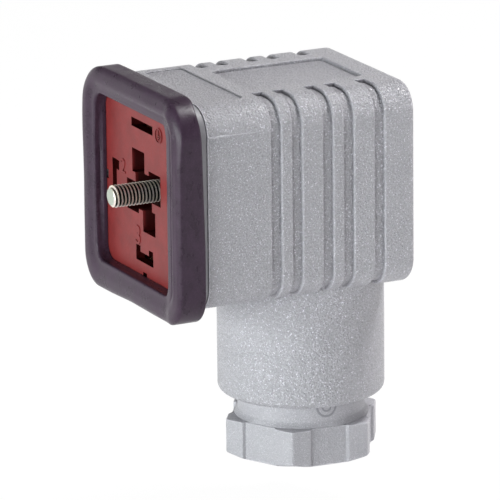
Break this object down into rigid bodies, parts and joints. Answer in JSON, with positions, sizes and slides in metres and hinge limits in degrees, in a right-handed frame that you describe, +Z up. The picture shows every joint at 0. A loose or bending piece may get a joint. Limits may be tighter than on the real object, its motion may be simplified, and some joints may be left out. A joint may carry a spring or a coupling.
{
  "type": "solenoid valve plug connector",
  "caption": "Square right-angle cable plug for a solenoid valve coil, with profile gasket, contact carrier, screw terminals, captive fixing screw and a downward cable gland.",
  "frame": {"origin": "the centre of the fixing screw in the plane of the gasket's front face, where the plug meets the coil", "axes": "-X is the plugging direction and points out of the mating face, +X runs to the closed rear wall, +Z is up with the earth contact on top, and the cable leaves along -Z"},
  "size_m": [0.0388, 0.0302, 0.0535],
  "materials": {
    "housing_plastic": "light grey moulded plastic with a fine sparkling grain",
    "gland_plastic": "light grey moulded plastic, smoother than the housing",
    "gasket_rubber": "dark purplish black rubber, satin",
    "seal_rubber": "black rubber, matt",
    "carrier_plastic": "brick red glass-filled plastic, smooth matt",
    "washer_plastic": "natural white plastic",
    "contact_brass": "tinned brass, dull",
    "plated_steel": "zinc plated steel",
    "passivated_steel": "zinc plated steel with a yellowish passivation"
  },
  "bodies": {
    "housing": {"housing": "housing_plastic", "cable_grommet": "seal_rubber"},
    "gasket": {"profile_gasket": "gasket_rubber"},
    "carrier": {"contact_carrier": "carrier_plastic", "contact_1": "contact_brass", "contact_2": "contact_brass", "contact_3": "contact_brass", "earth_contact": "contact_brass"},
    "clamp_1": {"wire_clamp_1": "plated_steel"},
    "clamp_2": {"wire_clamp_2": "plated_steel"},
    "clamp_3": {"wire_clamp_3": "plated_steel"},
    "clamp_earth": {"earth_clamp": "plated_steel"},
    "screw_1": {"terminal_screw_1": "plated_steel"},
    "screw_2": {"terminal_screw_2": "plated_steel"},
    "screw_3": {"terminal_screw_3": "plated_steel"},
    "screw_earth": {"earth_screw": "plated_steel"},
    "seal": {"screw_seal": "seal_rubber"},
    "fixing_screw": {"fixing_screw": "passivated_steel"},
    "washer": {"gland_washer": "washer_plastic"},
    "gland": {"gland_screw": "gland_plastic"}
  },
  "joints": [
    {"name": "carrier_out", "type": "slide", "parent": "housing", "child": "carrier", "axis": [-1, 0, 0], "range_m": [0, 0.026]},
    {"name": "gasket_off", "type": "slide", "parent": "housing", "child": "gasket", "axis": [-1, 0, 0], "range_m": [0, 0.026]},
    {"name": "clamp_1_feed", "type": "slide", "parent": "carrier", "child": "clamp_1", "axis": [-1, 0, 0], "range_m": [-0.0015, 0.001]},
    {"name": "screw_1_turn", "type": "hinge", "parent": "clamp_1", "child": "screw_1", "pos_m": [0.015, -0.0082, 0], "axis": [-1, 0, 0], "range_deg": [-1080, 720]},
    {"name": "clamp_2_feed", "type": "slide", "parent": "carrier", "child": "clamp_2", "axis": [-1, 0, 0], "range_m": [-0.0015, 0.001]},
    {"name": "screw_2_turn", "type": "hinge", "parent": "clamp_2", "child": "screw_2", "pos_m": [0.015, 0.0082, 0], "axis": [-1, 0, 0], "range_deg": [-1080, 720]},
    {"name": "clamp_3_feed", "type": "slide", "parent": "carrier", "child": "clamp_3", "axis": [-1, 0, 0], "range_m": [-0.0015, 0.001]},
    {"name": "screw_3_turn", "type": "hinge", "parent": "clamp_3", "child": "screw_3", "pos_m": [0.015, 0, -0.0082], "axis": [-1, 0, 0], "range_deg": [-1080, 720]},
    {"name": "clamp_earth_feed", "type": "slide", "parent": "carrier", "child": "clamp_earth", "axis": [-1, 0, 0], "range_m": [-0.0015, 0.001]},
    {"name": "screw_earth_turn", "type": "hinge", "parent": "clamp_earth", "child": "screw_earth", "pos_m": [0.015, 0, 0.0082], "axis": [-1, 0, 0], "range_deg": [-1080, 720]},
    {"name": "fixing_screw_pull", "type": "slide", "parent": "housing", "child": "seal", "axis": [1, 0, 0], "range_m": [0, 0.017]},
    {"name": "fixing_screw_turn", "type": "hinge", "parent": "seal", "child": "fixing_screw", "pos_m": [0.015, 0, 0], "axis": [-1, 0, 0], "continuous": true},
    {"name": "gland_feed", "type": "slide", "parent": "housing", "child": "washer", "axis": [0, 0, 1], "range_m": [-0.006, 0.0025]},
    {"name": "gland_turn", "type": "hinge", "parent": "washer", "child": "gland", "pos_m": [0.02466, 0, -0.03], "axis": [0, 0, 1], "range_deg": [-1440, 600]}
  ],
  "couplings": [
    {"joint": "gasket_off", "follows": "carrier_out", "ratio": 1},
    {"joint": "screw_1_turn", "follows": "clamp_1_feed", "rad_per_m": 12566},
    {"joint": "screw_2_turn", "follows": "clamp_2_feed", "rad_per_m": 12566},
    {"joint": "screw_3_turn", "follows": "clamp_3_feed", "rad_per_m": 12566},
    {"joint": "screw_earth_turn", "follows": "clamp_earth_feed", "rad_per_m": 12566},
    {"joint": "gland_turn", "follows": "gland_feed", "rad_per_m": 4188.8}
  ]
}
